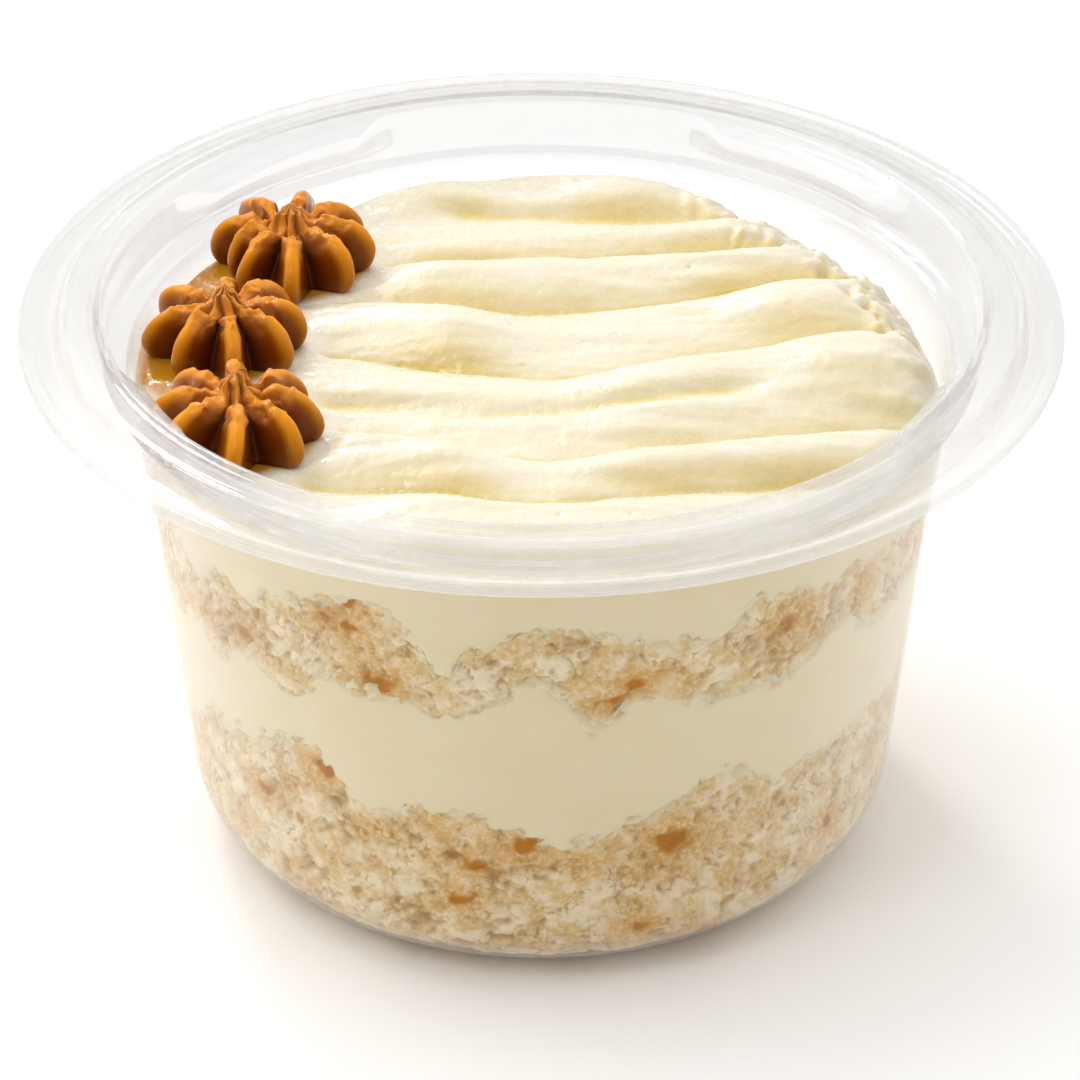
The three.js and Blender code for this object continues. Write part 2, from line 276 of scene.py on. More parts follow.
def subdivide(outline, longest):
    """Adds points so that no stretch of an outline is longer than longest."""
    made = [outline[:1]]
    for a, b in zip(outline, outline[1:]):
        steps = max(1, math.ceil(np.linalg.norm(b - a) / longest))
        made.append(lerp(a, b, np.linspace(0, 1, steps + 1)[1:, None]))
    return np.concatenate(made)


def inside_outline():
    """The inside of the cup from the middle of its floor to the top of its wall."""
    return np.array([
        (0, PLASTIC + PUSH_UP_DEPTH),
        (PUSH_UP_RADIUS, PLASTIC + PUSH_UP_DEPTH),
        (PUSH_UP_RIM, PLASTIC + 0.05),
        *base_corner(PLASTIC),
        (outer_wall_radius(SHOULDER_HEIGHT) - PLASTIC, SHOULDER_HEIGHT),
        (MOUTH_WALL_RADIUS - 0.4, SHOULDER_HEIGHT + 0.6),
        (MOUTH_WALL_RADIUS, SHOULDER_HEIGHT + 1),
        (MOUTH_WALL_RADIUS, CUP_HEIGHT - 1.25),
    ])


def cup_outline():
    def from_crest(points):
        return [(radius, CUP_HEIGHT - depth) for radius, depth in points]

    outline = np.array([
        (0, PUSH_UP_DEPTH),
        (PUSH_UP_RADIUS, PUSH_UP_DEPTH),
        (PUSH_UP_RIM, 0),
        *base_corner(0),
        (outer_wall_radius(SHOULDER_HEIGHT - PLASTIC), SHOULDER_HEIGHT - PLASTIC),
        (MOUTH_WALL_RADIUS + PLASTIC - 0.5, SHOULDER_HEIGHT - 0.2),
        (MOUTH_WALL_RADIUS + PLASTIC, SHOULDER_HEIGHT + 0.6),
        *from_crest(FLANGE_UNDERSIDE),
        *from_crest(FLANGE_TOP),
        *inside_outline()[::-1],
    ])
    return subdivide(soften(soften(outline, 0.32), 0.12), CUP_SPACING)


def lug_share(azimuth, z):
    """How far a stacking lug stands in, from 0 to 1."""
    around = sum(
        1 - smoothstep(apart(azimuth, centre), half - 4, half + 5) for centre, half in LUGS
    )
    bottom = smoothstep(z, SHOULDER_HEIGHT + 0.1, SHOULDER_HEIGHT + 2)
    top = 1 - smoothstep(z, CUP_HEIGHT - 3.4, CUP_HEIGHT - 1.3)
    return around * bottom * top


def make_cup(material):
    outline = cup_outline()
    azimuth = np.linspace(0, 360, CUP_COLUMNS, endpoint=False)[None, :]
    radius, z = outline[:, :1], outline[:, 1:]
    in_mouth_wall = (radius < MOUTH_WALL_RADIUS + PLASTIC + 0.1) & (z > SHOULDER_HEIGHT - 0.5)
    share = lug_share(azimuth, z) * in_mouth_wall
    wide = radius - LUG_INSET * share
    angle = np.radians(azimuth)
    points = np.stack([wide * np.sin(angle), -wide * np.cos(angle), z + 0 * angle], -1)
    points[..., :2] *= 1 + 0.0006 * noise(points / 26, 3)[..., None]
    body = 1 - smoothstep(z, SHOULDER_HEIGHT - 4, SHOULDER_HEIGHT) + 0 * angle
    within = (np.arange(len(outline)) > np.argmax(outline[:, 1]))[:, None]
    wet = within * (1 - smoothstep(z, CREAM_EDGE - 1, CREAM_EDGE + 1)) + 0 * angle
    mesh = skin("cup_clear", points, {"body": body, "wet": wet})
    return new_piece("cup_clear", mesh, material, ["cup"])


# ------------------------------------------------------------------ the layers

INSIDE = subdivide(inside_outline(), 0.4)
INSIDE_RUN = np.concatenate([[0], np.cumsum(np.linalg.norm(np.diff(INSIDE, axis=0), axis=1))])
AZIMUTH = np.linspace(0, 360, COLUMNS, endpoint=False)


def run_at(z):
    """How far along the inside of the cup a height on its wall is."""
    wall = INSIDE[:, 0] > PUSH_UP_RIM
    return np.interp(z, INSIDE[wall, 1], INSIDE_RUN[wall])


def wall_radius(z):
    return np.interp(run_at(z), INSIDE_RUN, INSIDE[:, 0])


def against_wall(run, depth):
    """Points that lie depth inside the cup's inner face, run along it from the floor's middle."""
    slopes = np.gradient(INSIDE, INSIDE_RUN, axis=0)
    radius, z = (np.interp(run, INSIDE_RUN, INSIDE[:, k]) for k in (0, 1))
    out, up = (np.interp(run, INSIDE_RUN, slopes[:, k]) for k in (0, 1))
    length = np.hypot(out, up)
    radius = np.maximum(radius - depth * up / length, 0)
    z = z + depth * out / length
    angle = np.radians(AZIMUTH)
    return np.stack([radius * np.sin(angle), -radius * np.cos(angle), z + 0 * angle], -1)


def back_crags(seed):
    """The rises and dips of a layer's top round the back of the cup, as the model draws them."""
    made = []
    state = seed
    for i in range((BACK_TO - BACK_FROM) // BACK_STEP + 1):
        draws = []
        for _ in range(3):
            state = (state * 1103515245 + 12345) % 2147483648
            draws.append(state / 2147483648)
        made.append((
            BACK_FROM + BACK_STEP * (i + 0.5 * (draws[0] - 0.5)),
            lerp(*BACK_RISE, draws[1]) * (1 if i % 2 else -1),
            lerp(*BACK_HALF, draws[2]),
        ))
    return made


def layer_edge(top):
    """Height of a layer's top at the wall for each column, with ragged edges."""
    level, crags, seed = top
    z = np.full(COLUMNS, float(level))
    for centre, rise, half in (*crags, *back_crags(seed)):
        z += rise * np.exp(-((apart(AZIMUTH, centre) / half) ** 2))
    angle = np.radians(AZIMUTH)
    ring = np.stack([np.sin(angle), -np.cos(angle), 0 * angle + seed], -1) * 43
    return z + 0.55 * rough(ring / 3.1, 3, seed) + 0.4 * noise(ring / 1.1, seed + 9)


def inner_rings(edge, count):
    """Rings across the middle of the cup, from an edge in to the axis."""
    level = edge[:, 2].mean()
    rings = []
    for share in np.linspace(1, 0, count + 1):
        ring = edge * share
        ring[:, 2] = lerp(level, edge[:, 2], share**1.5)
        rings.append(ring)
    return np.array(rings)


def cap_rings(run):
    """Rings from near a layer's edge at the wall, in under its top to the axis."""
    outer, inner = CAP_INSETS
    return np.concatenate([
        against_wall(run[None], outer),
        inner_rings(against_wall(run, inner), CAP_RINGS),
    ])


def crumb_depth(points, seed):
    """How deep a sponge's crumb lies behind the cup's wall, in millimetres."""
    warped = points + 0.5 * np.stack([noise(points / 1.7, seed + k) for k in (5, 6, 7)], -1)
    coarse, _ = lumps(warped / 2.6, seed)
    middle, _ = lumps(warped / 1.2, seed + 20)
    fine, _ = lumps(warped / 0.75, seed + 40)
    swell = rough(points / 4.5, 2, seed + 60)
    depth = 0.4 * coarse**2 + 0.65 * middle**2 + 0.4 * fine**2 + 0.3 * swell - 0.2
    return np.clip(np.logaddexp(depth * 9, -0.9) / 9 - 0.06, 0, 2) - INTO_WALL


def crumb_jut(points):
    """How far each crumb at a sponge's edge stands out into the cream, or falls short."""
    warped = points + 0.4 * np.stack([noise(points / 0.9, seed) for seed in (75, 76, 78)], -1)
    _, large = lumps(warped / 1.9, 77)
    _, small = lumps(warped / 1.0, 83)
    return 1.5 * (large - 0.5) + 1.1 * (small - 0.5)


def sponge_against_wall(points, beyond, seed):
    past_edge = np.clip(beyond - crumb_jut(points), 0, None)
    return crumb_depth(points, seed) + np.minimum(0.9 * past_edge, EDGE_DEPTH) + 0.08 * past_edge


def cream_against_wall(points, beyond, seed):
    """Cream fills the cup to its wall, apart from a few bubbles, and thins out past its edge."""
    bubble, tag = lumps(points / 5.5, seed)
    pit = (1 - smoothstep(bubble * 5.5, 0.15, 0.6)) * (tag > 0.72)
    ragged = crumb_jut(points) + 0.25 * rough(points / 0.8, 2, seed + 1)
    past_edge = np.clip(beyond + ragged, 0, None)
    return np.minimum(0.9 * past_edge, EDGE_DEPTH) + 0.3 * past_edge + 0.4 * pit - INTO_WALL


FLECKS = (  # azimuth, height and size of the caramel-soaked spots that show in the sponges
    (-23.5, 41.3, 1.5), (-27.3, 52, 1.1), (-27.3, 48.2, 1.0), (-47.4, 40.7, 1.1), (-2.4, 21, 1.6),
    (-10.1, 17.5, 1.0), (-12.3, 12.5, 1.0), (-33.6, 26.9, 1.2), (-47.7, 19, 1.0), (20.4, 19.4, 1.9),
    (37.1, 46.2, 1.3), (51.8, 12.2, 0.9), (15.2, 8, 1.1), (28.3, 3.5, 1.2), (10.3, 41.2, 0.8),
    (13.3, 43.1, 0.9),
)


def fleck_distance(points):
    """How far the nearest caramel-soaked spot is, in half widths of that spot."""
    nearest = np.full(points.shape[:-1], 9.0)
    warp = 0.55 * rough(points / 1.1, 2, 71)
    for azimuth, z, size in FLECKS:
        angle = math.radians(azimuth)
        radius = wall_radius(z)
        spot = np.array([radius * math.sin(angle), -radius * math.cos(angle), z])
        away = np.linalg.norm((points - spot) / (1.2, 1.2, 0.9), axis=-1) / size
        nearest = np.minimum(nearest, away)
    scattered, tag = lumps(points / 7, 81)
    nearest = np.minimum(nearest, np.where(tag > 0.66, scattered * 7 + 0.3, 9))
    return nearest + warp


def side_rows(low, high, spacing):
    """Runs along the inside of the cup for each column, from low to high."""
    count = math.ceil((high - low).max() / spacing)
    return lerp(low[None], high[None], np.linspace(0, 1, count)[:, None])


def wrap_values(side_values, before, after):
    """Numbers for a skin whose rings across the cup come before and after the side."""
    added = ((before, after), (0, 0))
    return {name: np.pad(grid, added) for name, grid in side_values.items()}


def make_layer(name, node, bottom, top, depth_of, seed, material, slot):
    """A layer between two edges, pressed against the wall. With no bottom edge it fills the cup
    down to its floor."""
    high = run_at(top)
    if bottom is None:
        floor_end = np.full(COLUMNS, float(run_at(0) - CORNER_RADIUS * 0.6))
        floor_start = np.full(COLUMNS, FLOOR_START)
        floor = side_rows(floor_start, floor_end - FLOOR_GAP, FLOOR_SPACING)
        run = np.concatenate([floor, side_rows(floor_end, high + INTERLOCK, LOWER_SIDE_SPACING)])
        beyond = run - high
    else:
        low = run_at(bottom)
        run = side_rows(low - INTERLOCK, high + INTERLOCK, SIDE_SPACING)
        beyond = np.maximum(run - high, low - run)
    flat = against_wall(run, 0)
    depth = depth_of(flat, beyond, seed)
    side = against_wall(run, depth)
    head = cap_rings(high - CAP_STEP)
    foot = side[:1] * (0, 0, 1) if bottom is None else cap_rings(low + CAP_STEP)[::-1]
    points = np.concatenate([foot, side, head])
    if slot == "sponge":
        creamy = smoothstep(beyond, -2.6, 0.2)
        values = {"depth": depth, "creamy": creamy, "fleck_distance": fleck_distance(flat)}
    else:
        values = {"sheltered": np.ones(depth.shape)}
    values = wrap_values(values, len(foot), len(head))
    return new_piece(name, skin(name, points, values), material, [node])


# ------------------------------------------------------------------ the ridged top cream


def crease_y(crease, x, wobble):
    mid, slope, bow = crease[:3]
    along = CREASE_REACH * np.tanh(x / CREASE_REACH)
    shift = wobble * rough(np.stack([x / 11, 0 * x + mid, 0 * x], -1), 2, 31)
    return mid + slope * along + bow * along**2 + shift


def ridge_shape(t, crest):
    far = np.sin(np.pi / 2 * np.clip(t / crest, 0, 1)) ** 0.85
    near = np.cos(np.pi / 2 * np.clip((t - crest) / (1 - crest), 0, 1)) ** 0.78
    return np.where(t < crest, far, near)


def ridges(x, y):
    lines = [crease_y(crease, x, 0.55) for crease in CREASES]
    z = np.zeros_like(x)
    left = 0.6 + 0.4 * smoothstep(x, -32, -8)
    right = smoothstep(x, 8, 30)
    for near, far, crease in zip(lines, lines[1:], CREASES):
        inside = (y >= near) & (y < far)
        vary = 1 + 0.42 * noise(np.stack([x / 12, 0 * x + crease[0], 0 * x], -1), 37)
        height = (crease[3] * left + crease[4] * right) * vary
        crest = np.minimum(RIDGE_CREST, CREST_REACH / (far - near))
        z = np.where(inside, height * ridge_shape((far - y) / (far - near), crest), z)
    for groove in SHALLOW_GROOVES:
        across = (y - crease_y(groove, x, 0.4)) / GROOVE_HALF_WIDTH
        depth, start, stop = groove[3:]
        begins = smoothstep(x, start, start + GROOVE_FADE)
        ends = smoothstep(x, stop - GROOVE_FADE, stop)
        z -= depth * begins * (1 - ends) * np.exp(-(across**2))
    return z


def cream_surface(x, y):
    radius = np.hypot(x, y)
    wall = wall_radius(CREAM_EDGE)
    flat = np.stack([x, y, 0 * x], -1)
    roll = ridges(x, y)
    z = CREAM_VALLEY + roll
    z += 0.2 * noise(flat / (10, 1.7, 1), 41) + 0.07 * noise(flat / (4, 0.7, 1), 42)
    z += 0.04 * rough(flat / 0.9, 2, 43)
    for (cx, cy), reach, height in MOUNDS:
        z += height * np.exp(-(((x - cx) ** 2 + (1.6 * (y - cy)) ** 2) / reach**2) ** 1.5)
    pit, tag = lumps(flat / 3.4, 45)
    z -= 0.35 * (1 - smoothstep(pit * 3.4, 0.1, 0.45)) * (tag > 0.7)
    for (cx, cy), reach, _, _ in ROSETTES:
        away = np.hypot(x - cx, y - cy)
        pad = ROSETTE_PAD + 0.1 * noise(flat / 2, 47)
        z = lerp(pad, z, smoothstep(away, reach - 1, reach + 2.5))
    azimuth = azimuth_of(x, y)
    slump = np.exp(-((apart(azimuth, SLUMP_AZIMUTH) / SLUMP_HALF) ** 4))
    notch = np.exp(-((apart(azimuth, NOTCH_AZIMUTH) / NOTCH_HALF) ** 2))
    clump, _ = lumps(flat / 2, 49)
    torn = 1.6 * (0.45 - clump) + 0.5 * rough(flat / 1.1, 2, 50)
    edge = CREAM_EDGE + 0.45 * noise(flat / 5, 51) - SLUMP_DROP * slump
    edge += smoothstep(-x, 18, 38)
    side = 2 * smoothstep(x, 20, 40) - 1.6 * smoothstep(-x, 20, 38)
    between = 1 - smoothstep(roll, 0.3, 1.8)
    short = 2 + 1.8 * rough(flat / 4, 2, 53) + 2.6 * between
    start = wall - 2.6 - side - slump * short - NOTCH_DEPTH * notch
    past = np.clip((radius - start) / (wall - start), 0, 1)
    ragged = np.maximum(slump, notch)
    z += torn * ragged * smoothstep(radius, start - 3, start + 0.5)
    return lerp(edge + 0.6 * torn * ragged, z, (1 - past**2) ** lerp(0.5, 0.75, slump))


def make_cream_top(bottom, material):
    angle = np.radians(AZIMUTH)
    radii = wall_radius(CREAM_EDGE) * np.linspace(1, 0, CREAM_TOP_ROWS)[:, None]
    x, y = radii * np.sin(angle), -radii * np.cos(angle)
    z = cream_surface(x, y)
    near, far = cream_surface(x, y - SLOPE_REACH), cream_surface(x, y + SLOPE_REACH)
    dip = (near + far) / 2 - z
    slope = (far - near) / (2 * SLOPE_REACH)
    low = run_at(bottom)
    run = side_rows(low - INTERLOCK, run_at(z[0]), TOP_SIDE_SPACING)
    depth = cream_against_wall(against_wall(run, 0), low - run, CREAM_TOP_SEED)
    side = against_wall(run, depth)
    top = np.stack([x, y, z], -1)[1:]
    foot = cap_rings(low + CAP_STEP)[::-1]
    points = np.concatenate([foot, side, top])
    stain = np.zeros(points.shape[:-1])
    for (cx, cy), reach, _, _ in ROSETTES:
        away = np.hypot(points[..., 0] - cx, points[..., 1] - cy) - reach
        outward = 4.2 * smoothstep(cx - points[..., 0], 0, 7)
        uneven = 0.5 * noise(points / 1.4, 61)
        stain = np.maximum(stain, 1 - smoothstep(away + uneven - outward, -2.9, -0.8))
    stain *= smoothstep(points[..., 2], 55.5, 57)
    before = len(foot) + len(side)
    sheltered = np.concatenate([np.ones((before, COLUMNS)), np.zeros(top.shape[:2])])
    # Painted shade: the cream's creases, and its faces that slope down towards the front, are
    # coloured a deeper yellow
    shade = 0.75 * smoothstep(dip, 0.1, 0.7) + 0.75 * smoothstep(slope, 0.12, 0.95)
    painted_shade = np.concatenate([np.zeros((before, COLUMNS)), np.clip(shade[1:], 0, 1)])
    values = {"stain": stain, "painted_shade": painted_shade, "sheltered": sheltered}
    mesh = skin("cream_top_ridged", points, values)
    return new_piece("cream_top_ridged", mesh, material, ["cream_top"])


# ------------------------------------------------------------------ the rosettes

# The outlines of a lobe's ridge and of the groove beside it, from foot to tip, as shares of the
# rosette's radius and height.
LOBE_OUTLINE = (
    (0.84, 0), (0.95, 0.08), (1.0, 0.24), (0.97, 0.4), (0.88, 0.56), (0.73, 0.69),
    (0.55, 0.77), (0.39, 0.76), (0.27, 0.7), (0.17, 0.79), (0.08, 0.94), (0, 1),
)
GROOVE_OUTLINE = (
    (0.58, 0), (0.6, 0.05), (0.58, 0.11), (0.54, 0.19), (0.48, 0.29), (0.41, 0.39),
    (0.34, 0.48), (0.27, 0.55), (0.2, 0.62), (0.14, 0.76), (0.07, 0.93), (0, 1),
)
ROSETTE_ROWS = 90
LOBE_COLUMNS = 36
RIDGE_RADIUS = 0.95  # rounding of a lobe's ridge
CAP_SHARE = 0.4  # share of a lobe's columns that go round its ridge


def smooth_outline(points, count):
    """A Catmull-Rom curve through an outline's points."""
    p = np.array([points[0], *points, points[-1]], float)
    t = np.linspace(0, len(points) - 1.000001, count)
    i = t.astype(int)
    t = (t - i)[:, None]
    a, b, c, d = (p[i + k] for k in range(4))
    squared = 2 * a - 5 * b + 4 * c - d
    cubed = 3 * b - a - 3 * c + d
    return 0.5 * (2 * b + (c - a) * t + squared * t**2 + cubed * t**3)


def lobe_section(tip, groove, half_angle, u):
    """Points of a level cut through one lobe: along it and across it. u goes from -1 in the
    groove before it, by 0 at its ridge, to 1 in the groove after it."""
    rounding = np.minimum(RIDGE_RADIUS, 0.34 * tip)
    cap = np.clip(np.abs(u) / CAP_SHARE, 0, 1) * math.radians(74)
    side = np.clip((np.abs(u) - CAP_SHARE) / (1 - CAP_SHARE), 0, 1)
    cap_along = tip - rounding + rounding * np.cos(cap)
    cap_across = rounding * np.sin(cap)
    along = lerp(cap_along, groove * np.cos(half_angle), side)
    across = lerp(cap_across, groove * np.sin(half_angle), side)
    return along, across * np.sign(u)


def make_rosette(number, centre, radius, height, lobes, material):
    seed = 90 + 7 * number
    ridge_line = smooth_outline(LOBE_OUTLINE, ROSETTE_ROWS)
    groove_line = smooth_outline(GROOVE_OUTLINE, ROSETTE_ROWS)
    u = (np.arange(LOBE_COLUMNS) + 0.5)[None, :] / LOBE_COLUMNS * 2 - 1
    parts = []
    for k, azimuth in enumerate(lobes):
        before = (azimuth - lobes[k - 1]) % 360 / 2
        after = (lobes[(k + 1) % len(lobes)] - azimuth) % 360 / 2
        half_angle = np.radians(np.where(u < 0, before, after))
        size, tall, lean = (2 * float(lattice(np.array(k), j, 0, seed)) - 1 for j in range(3))
        narrow = min(1, (before + after) / 45) ** 0.6
        tip = radius * ridge_line[:, :1] * (1 + 0.05 * size) * lerp(1, narrow, ridge_line[:, :1])
        groove = radius * groove_line[:, :1]
        along, across = lobe_section(np.maximum(tip, groove), groove, half_angle, u)
        foot = groove * np.cos(half_angle)
        share = np.clip((along - foot) / np.maximum(tip - foot, 0.01), 0, 1)
        up = ridge_line[:, 1:]
        hump = up + 0.07 * tall * np.sin(np.pi * np.clip(up / 0.8, 0, 1))
        rise = lerp(groove_line[:, 1:], hump, share)
        angle = np.radians(azimuth + 6 * rise + 5 * lean * share * rise)
        x = along * np.sin(angle) + across * np.cos(angle)
        y = -along * np.cos(angle) + across * np.sin(angle)
        parts.append((np.stack([x, y, rise], -1), share + 0 * along))
    points = np.concatenate([part[0] for part in parts], axis=1)
    ridge = np.concatenate([part[1] for part in parts], axis=1)
    rise = points[..., 2].copy()
    points[..., 2] = ROSETTE_PAD - 0.25 + (height + 0.25) * rise
    points[..., :2] += centre
    distance = np.hypot(points[..., 0] - centre[0], points[..., 1] - centre[1]) / radius
    folds = smoothstep(rise, 0.42, 0.66) * (1 - smoothstep(distance, 0.5, 0.78))
    creases = rough(points / (0.8, 0.8, 1.3), 3, seed)
    shifts = np.stack([noise(points / 1.2, seed + j) for j in (4, 5, 6)], -1)
    wide = points + 0.5 * folds[..., None] * shifts
    wide[..., 2] += folds * (0.3 * creases - 0.35 * np.abs(noise(points / (0.9, 0.9, 2), seed + 8)))
    wide += 0.06 * noise(points / 1.6, seed + 9)[..., None]
    limit = wall_radius(np.minimum(wide[..., 2], SHOULDER_HEIGHT)) + INTO_WALL - 0.05
    reach = np.hypot(wide[..., 0], wide[..., 1])
    wide[..., :2] *= np.minimum(1, limit / reach)[..., None]
    name = f"rosette_piped_{number}"
    foot = wide[:1] * (0, 0, 1) + (*centre, 0)
    rows = np.concatenate([foot, wide])
    values = {"ridge": ridge, "folds": folds, "rise": rise}
    values = {key: np.concatenate([0 * grid[:1], grid]) for key, grid in values.items()}
    return new_piece(name, skin(name, rows, values), material, [f"rosette_{number}"])


# ------------------------------------------------------------------ materials


class Tree:
    """A new material and short ways to add nodes to it."""

    def __init__(self, name):
        self.material = bpy.data.materials.new(name)
        self.material.use_nodes = True
        self.nodes = self.material.node_tree.nodes
        self.nodes.clear()

    def link(self, value, socket):
        if isinstance(value, bpy.types.NodeSocket):
            self.material.node_tree.links.new(value, socket)
        else:
            socket.default_value = value

    def node(self, kind, inputs, output=0, **settings):
        made = self.nodes.new(kind)
        for key, value in settings.items():
            setattr(made, key, value)
        for key, value in inputs.items():
            self.link(value, made.inputs[key])
        return made.outputs[output]

    def where(self):
        return self.node("ShaderNodeTexCoord", {}, "Object")

    def height_along(self, axis):
        """The coordinate along an axis, in metres."""
        return self.node("ShaderNodeSeparateXYZ", {0: self.where()}, axis)

    def value(self, name):
        return self.node("ShaderNodeAttribute", {}, "Fac", attribute_name=name)

    def noise(self, size, detail=3.0, roughness=0.55):
        """Noise with features about size millimetres across."""
        return self.node("ShaderNodeTexNoise", {
            "Vector": self.where(),
            "Scale": 1 / (size * MM),
            "Detail": detail,
            "Roughness": roughness,
        }, "Fac")

    def cells(self, size):
        inputs = {"Vector": self.where(), "Scale": 1 / (size * MM)}
        return self.node("ShaderNodeTexVoronoi", inputs, "Distance")

    def range(self, value, low, high, to_low=0.0, to_high=1.0):
        """A number that goes smoothly from to_low to to_high while value goes from low to high."""
        inputs = dict(enumerate((value, low, high, to_low, to_high)))
        return self.node("ShaderNodeMapRange", inputs, interpolation_type="SMOOTHSTEP")

    def mix(self, share, a, b):
        inputs = {"Factor": share, 6: a, 7: b}
        return self.node("ShaderNodeMix", inputs, 2, data_type="RGBA")

    def blend(self, share, a, b):
        return self.node("ShaderNodeMix", {"Factor": share, 2: a, 3: b})

    def math(self, operation, a, b=0.0):
        return self.node("ShaderNodeMath", {0: a, 1: b}, operation=operation)

    def bump(self, height, distance, strength=1.0):
        inputs = {"Height": height, "Distance": distance * MM, "Strength": strength}
        return self.node("ShaderNodeBump", inputs)

    def facing(self):
        """1 where a surface is seen edge on, 0 where it is seen face on."""
        return self.node("ShaderNodeLayerWeight", {"Blend": 0.35}, "Facing")

    def finish(self, surface):
        output = self.nodes.new("ShaderNodeOutputMaterial")
        self.link(surface, output.inputs["Surface"])
        return self.material


def clear_plastic():
    tree = Tree("clear_plastic")
    haze = tree.range(tree.noise(9, 4), 0.35, 0.8, 0.02, 0.08)
    ripple = tree.bump(tree.noise(14, 2), 0.006, 0.3)
    # Painted light: the rim's front lets less light through and shows more of its pale base colour,
    # and the back is tinted greyer
    painted_front_light = tree.range(tree.height_along("Y"), -0.05, 0, 1, 0)
    rim_clarity = tree.blend(painted_front_light, 0.9, tree.range(tree.facing(), 0.1, 0.8, 0.6, 0.3))
    body_clarity = tree.range(tree.facing(), 0.05, 0.5, 1, 0.4)
    glass = tree.node("ShaderNodeBsdfPrincipled", {
        "Base Color": (0.9, 0.895, 0.89, 1),
        "Roughness": haze,
        "IOR": 1.46,
        "Transmission Weight": tree.blend(tree.value("body"), rim_clarity, body_clarity),
        "Normal": ripple,
    })
    path = tree.nodes.new("ShaderNodeLightPath")
    passing = tree.math("MAXIMUM", path.outputs["Is Shadow Ray"], path.outputs["Is Diffuse Ray"])
    rim_veil = tree.range(tree.facing(), 0.1, 0.95, 0.75, 0.25)
    body_veil = tree.range(tree.facing(), 0.1, 0.75, 0.97, 0.5)
    veil = tree.blend(tree.value("body"), rim_veil, body_veil)
    passing = tree.math("MAXIMUM", passing, tree.math("MAXIMUM", veil, tree.value("wet")))
    # Painted light and shade: a lighter tint on the rim's front, a greyer tint on its back
    rim_tint = tree.mix(painted_front_light, (0.82, 0.815, 0.81, 1), (0.95, 0.947, 0.942, 1))
    tint = tree.mix(tree.value("body"), rim_tint, (0.935, 0.93, 0.925, 1))
    tint = tree.mix(tree.value("wet"), tint, (1, 1, 1, 1))
    through = tree.node("ShaderNodeBsdfTransparent", {"Color": tint})
    return tree.finish(tree.node("ShaderNodeMixShader", {0: passing, 1: glass, 2: through}))


def sponge():
    tree = Tree("sponge_crumb")
    light, tan = (0.94, 0.8, 0.55, 1), (0.77, 0.53, 0.21, 1)
    # The dark brown is painted shade, for the pores and the gaps between crumbs
    warm, shade_brown, caramel = (0.72, 0.39, 0.09, 1), (0.46, 0.23, 0.045, 1), (0.52, 0.19, 0.004, 1)
    colour = tree.mix(tree.range(tree.noise(3, 4, 0.65), 0.4, 0.6), light, tan)
    near_fleck = tree.range(tree.value("fleck_distance"), 0.8, 4.6, 0.95, 0)
    patches = tree.range(tree.noise(8, 2), 0.51, 0.66, 0, 0.6)
    colour = tree.mix(tree.math("MAXIMUM", patches, near_fleck), colour, warm)
    colour = tree.mix(tree.range(tree.noise(0.65, 4, 0.7), 0.44, 0.62, 0, 0.5), colour, light)
    # Painted shade: dark brown dots stand in for the shade inside the crumb's pores
    pore_shade = tree.range(tree.cells(0.75), 0.56, 0.72)
    pore_shade = tree.math("MULTIPLY", pore_shade, tree.range(tree.noise(2.6), 0.48, 0.6))
    colour = tree.mix(tree.math("MULTIPLY", pore_shade, 0.6), colour, shade_brown)
    creamy = tree.value("creamy")
    # Painted shade: crumbs that lie deeper behind the wall are coloured darker brown, less so near
    # the cream's edge
    deep = tree.range(tree.value("depth"), -0.3, 0.4, 0, 0.85)
    colour = tree.mix(tree.math("MULTIPLY", deep, tree.range(creamy, 0, 1, 1, 0.35)), colour, shade_brown)
    colour = tree.mix(tree.math("MULTIPLY", creamy, 0.25), colour, (0.86, 0.74, 0.44, 1))
    colour = tree.mix(tree.range(tree.value("fleck_distance"), 0.5, 1.2, 1, 0), colour, caramel)
    grain = tree.math("ADD", tree.noise(0.4, 4, 0.7), tree.math("MULTIPLY", tree.cells(0.8), 0.8))
    return tree.finish(tree.node("ShaderNodeBsdfPrincipled", {
        "Base Color": colour,
        "Roughness": tree.range(tree.noise(1.2), 0.3, 0.7, 0.45, 0.8),
        "Specular IOR Level": 0.25,
        "Normal": tree.bump(grain, 0.25, 0.8),
    }))


def cream():
    tree = Tree("cream_whipped")
    pale, deep = (0.755, 0.7, 0.56, 1), (0.705, 0.54, 0.175, 1)
    pressed, stained = (0.82, 0.705, 0.47, 1), (0.5, 0.22, 0.008, 1)
    colour = tree.mix(tree.range(tree.noise(6, 1), 0.4, 0.7, 0, 0.1), pale, deep)
    # Painted shade: a deeper yellow in the creases and on the faces turned towards the front
    colour = tree.mix(tree.value("painted_shade"), colour, deep)
    mottled = tree.mix(tree.range(tree.noise(7, 1), 0.4, 0.7, 0, 0.12), pressed, deep)
    colour = tree.mix(tree.value("sheltered"), colour, mottled)
    colour = tree.mix(tree.value("stain"), colour, stained)
    specks = tree.range(tree.noise(1.3, 2), 0.4, 0.6, 0.14, 0.34)
    specks = tree.blend(tree.value("sheltered"), specks, 0.4)
    fine = tree.math("ADD", tree.noise(0.7, 2), tree.math("MULTIPLY", tree.noise(1.8, 2), 2.5))
    smooth = tree.range(tree.value("sheltered"), 0, 1, 0.55, 0.02)
    return tree.finish(tree.node("ShaderNodeBsdfPrincipled", {
        "Base Color": colour,
        "Roughness": specks,
        "Subsurface Weight": 0.35,
        "Subsurface Radius": (1.0, 0.65, 0.3),
        "Subsurface Scale": 0.0018,
        "Normal": tree.bump(fine, 0.09, smooth),
    }))


